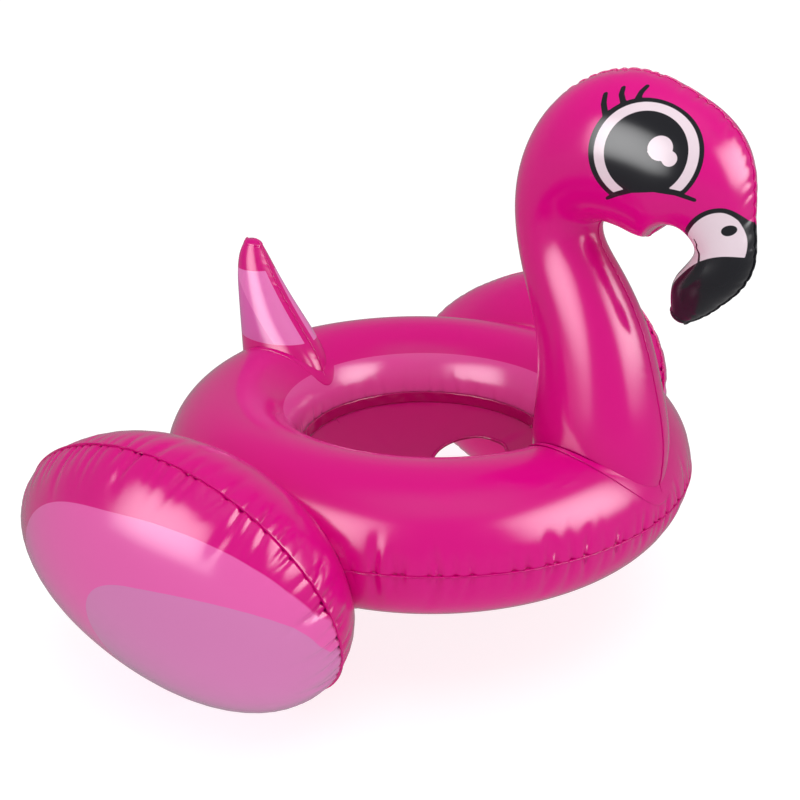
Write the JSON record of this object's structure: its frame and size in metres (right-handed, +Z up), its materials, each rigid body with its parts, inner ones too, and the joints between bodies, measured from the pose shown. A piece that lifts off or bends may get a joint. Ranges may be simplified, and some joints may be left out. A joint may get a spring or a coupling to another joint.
{
  "type": "inflatable swim ring with seat",
  "caption": "Inflatable swim ring in the shape of a flamingo, with a curved neck and head, side wings, a tail and a film seat with leg holes.",
  "frame": {"origin": "on the floor under the middle of the footprint, where the wings stand", "axes": "+Z up; the flamingo faces -Y; X = 0 is its plane of symmetry; +X is its left"},
  "size_m": [0.8426, 0.6449, 0.6023],
  "materials": {
    "pink_film": "gloss",
    "seat_film": "gloss",
    "clear_pvc": "gloss"
  },
  "bodies": {
    "float": {"leg_hem_left": "seat_film", "leg_hem_right": "seat_film", "neck_head_margin_left": "pink_film", "neck_head_margin_right": "pink_film", "neck_head_panel_left": "pink_film", "neck_head_panel_right": "pink_film", "neck_valve_base": "clear_pvc", "neck_weld_band": "pink_film", "ring_bottom_skin": "pink_film", "ring_top_skin": "pink_film", "ring_valve_base": "clear_pvc", "seat_collar": "seat_film", "seat_sling": "seat_film", "tail_margin_left": "pink_film", "tail_margin_right": "pink_film", "tail_panel_left": "pink_film", "tail_panel_right": "pink_film", "tail_weld_band": "pink_film", "wing_left_inner_skin": "pink_film", "wing_left_outer_skin": "pink_film", "wing_left_valve_base": "clear_pvc", "wing_left_weld_band": "pink_film", "wing_left_weld_margin": "pink_film", "wing_right_inner_skin": "pink_film", "wing_right_outer_skin": "pink_film", "wing_right_valve_base": "clear_pvc", "wing_right_weld_band": "pink_film", "wing_right_weld_margin": "pink_film"},
    "ring_stem": {"ring_valve_stem": "clear_pvc"},
    "ring_flap": {"ring_valve_flap": "clear_pvc"},
    "ring_plug": {"ring_valve_plug": "clear_pvc"},
    "neck_stem": {"neck_valve_stem": "clear_pvc"},
    "neck_flap": {"neck_valve_flap": "clear_pvc"},
    "neck_plug": {"neck_valve_plug": "clear_pvc"},
    "wing_left_stem": {"wing_left_valve_stem": "clear_pvc"},
    "wing_left_flap": {"wing_left_valve_flap": "clear_pvc"},
    "wing_left_plug": {"wing_left_valve_plug": "clear_pvc"},
    "wing_right_stem": {"wing_right_valve_stem": "clear_pvc"},
    "wing_right_flap": {"wing_right_valve_flap": "clear_pvc"},
    "wing_right_plug": {"wing_right_valve_plug": "clear_pvc"}
  },
  "joints": [
    {"name": "ring_stem_pull", "type": "slide", "parent": "float", "child": "ring_stem", "axis": [0.4535, 0.8529, 0.2588], "range_m": [0, 0.012]},
    {"name": "ring_flap_swing", "type": "hinge", "parent": "ring_stem", "child": "ring_flap", "pos_m": [0.13382, 0.26937, 0.19326], "axis": [-0.1215, -0.2285, 0.9659], "range_deg": [0, 60]},
    {"name": "ring_plug_swing", "type": "hinge", "parent": "ring_stem", "child": "ring_plug", "pos_m": [0.147, 0.28008, 0.19745], "axis": [0.1215, 0.2285, -0.9659], "range_deg": [0, 110]},
    {"name": "neck_stem_pull", "type": "slide", "parent": "float", "child": "neck_stem", "axis": [0.9903, 0, 0.1386], "range_m": [0, 0.012]},
    {"name": "neck_flap_swing", "type": "hinge", "parent": "neck_stem", "child": "neck_flap", "pos_m": [0.04393, -0.18354, 0.29495], "axis": [-0.1386, 0, 0.9903], "range_deg": [0, 60]},
    {"name": "neck_plug_swing", "type": "hinge", "parent": "neck_stem", "child": "neck_plug", "pos_m": [0.05997, -0.19013, 0.2972], "axis": [0.1386, 0, -0.9903], "range_deg": [0, 110]},
    {"name": "wing_left_stem_pull", "type": "slide", "parent": "float", "child": "wing_left_stem", "axis": [-0.8308, 0.5024, 0.2394], "range_m": [0, 0.012]},
    {"name": "wing_left_flap_swing", "type": "hinge", "parent": "wing_left_stem", "child": "wing_left_flap", "pos_m": [0.28298, 0.23608, 0.13719], "axis": [0.4551, 0.8609, -0.2272], "range_deg": [0, 60]},
    {"name": "wing_left_plug_swing", "type": "hinge", "parent": "wing_left_stem", "child": "wing_left_plug", "pos_m": [0.26741, 0.2437, 0.13484], "axis": [-0.4551, -0.8609, 0.2272], "range_deg": [0, 110]},
    {"name": "wing_right_stem_pull", "type": "slide", "parent": "float", "child": "wing_right_stem", "axis": [0.8308, 0.5024, 0.2394], "range_m": [0, 0.012]},
    {"name": "wing_right_flap_swing", "type": "hinge", "parent": "wing_right_stem", "child": "wing_right_flap", "pos_m": [-0.28298, 0.23608, 0.13719], "axis": [0.4551, -0.8609, 0.2272], "range_deg": [0, 60]},
    {"name": "wing_right_plug_swing", "type": "hinge", "parent": "wing_right_stem", "child": "wing_right_plug", "pos_m": [-0.26741, 0.2437, 0.13484], "axis": [-0.4551, 0.8609, -0.2272], "range_deg": [0, 110]}
  ]
}
